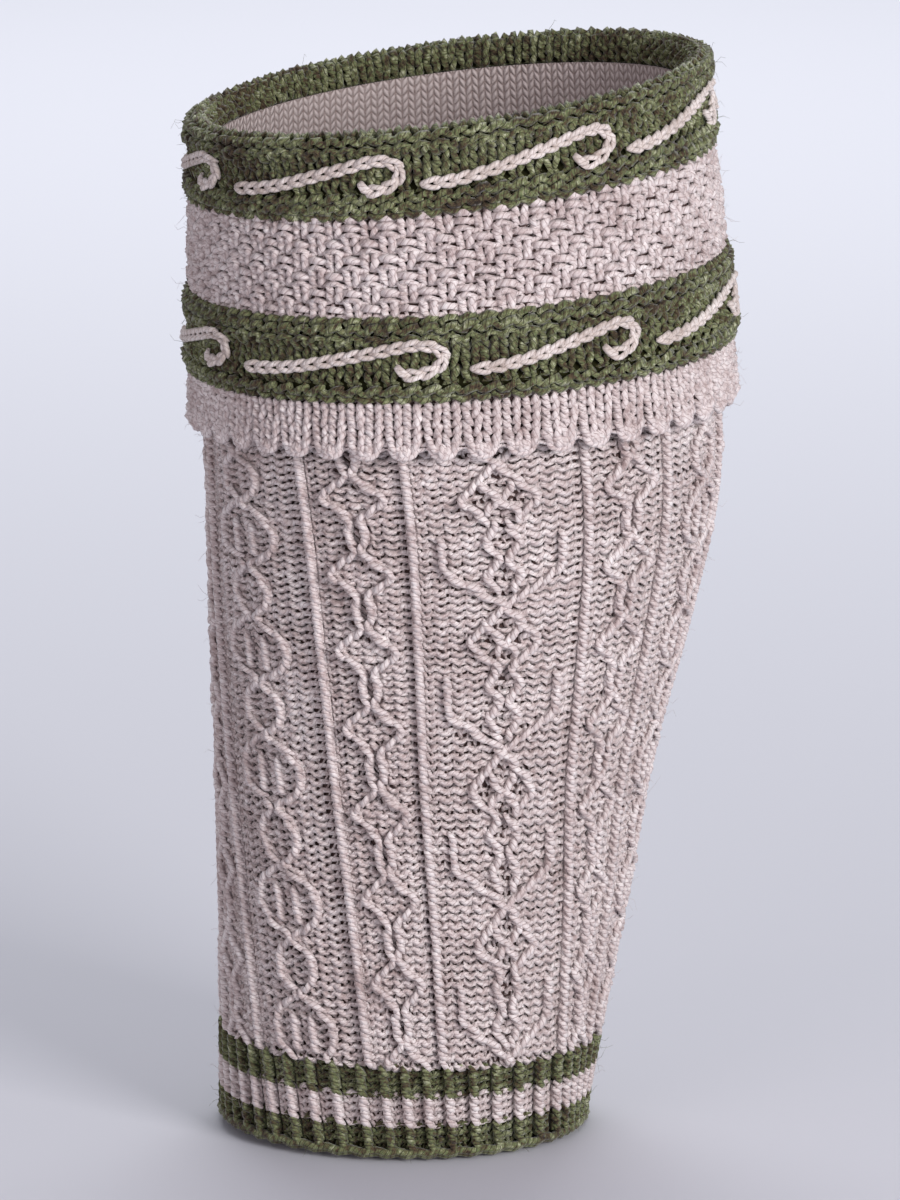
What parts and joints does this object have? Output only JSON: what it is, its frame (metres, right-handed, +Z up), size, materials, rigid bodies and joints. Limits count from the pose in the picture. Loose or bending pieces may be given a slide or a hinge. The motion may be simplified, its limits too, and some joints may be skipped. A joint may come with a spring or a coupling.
{
  "type": "calf warmer",
  "caption": "Knitted calf warmer in its worn form: a patterned tube with a striped rib hem and a turned-down cuff with green borders, curled crochet chains and a scalloped frill.",
  "frame": {"origin": "middle of the top opening, where the wearer's calf holds the garment up", "axes": "+Z up along the leg, -Y towards the front, +X to the right seen from the front"},
  "size_m": [0.1342, 0.1252, 0.2593],
  "materials": {
    "natural_wool": "heathered natural wool yarn, hand knitted, soft and slightly fuzzy",
    "green_wool": "olive green melange wool yarn with darker and lighter flecks, hand knitted"
  },
  "bodies": {
    "root": {"leg_tube": "natural_wool", "hem_stripe_upper": "green_wool", "hem_stripe_middle": "natural_wool", "hem_stripe_lower": "green_wool", "cuff_border_upper": "green_wool", "cuff_moss_band": "natural_wool", "cuff_border_lower": "green_wool", "cuff_frill": "natural_wool", "hook_upper_1": "natural_wool", "hook_upper_2": "natural_wool", "hook_upper_3": "natural_wool", "hook_upper_4": "natural_wool", "hook_upper_5": "natural_wool", "hook_upper_6": "natural_wool", "hook_upper_7": "natural_wool", "hook_upper_8": "natural_wool", "hook_lower_1": "natural_wool", "hook_lower_2": "natural_wool", "hook_lower_3": "natural_wool", "hook_lower_4": "natural_wool", "hook_lower_5": "natural_wool", "hook_lower_6": "natural_wool", "hook_lower_7": "natural_wool", "hook_lower_8": "natural_wool"}
  },
  "joints": []
}
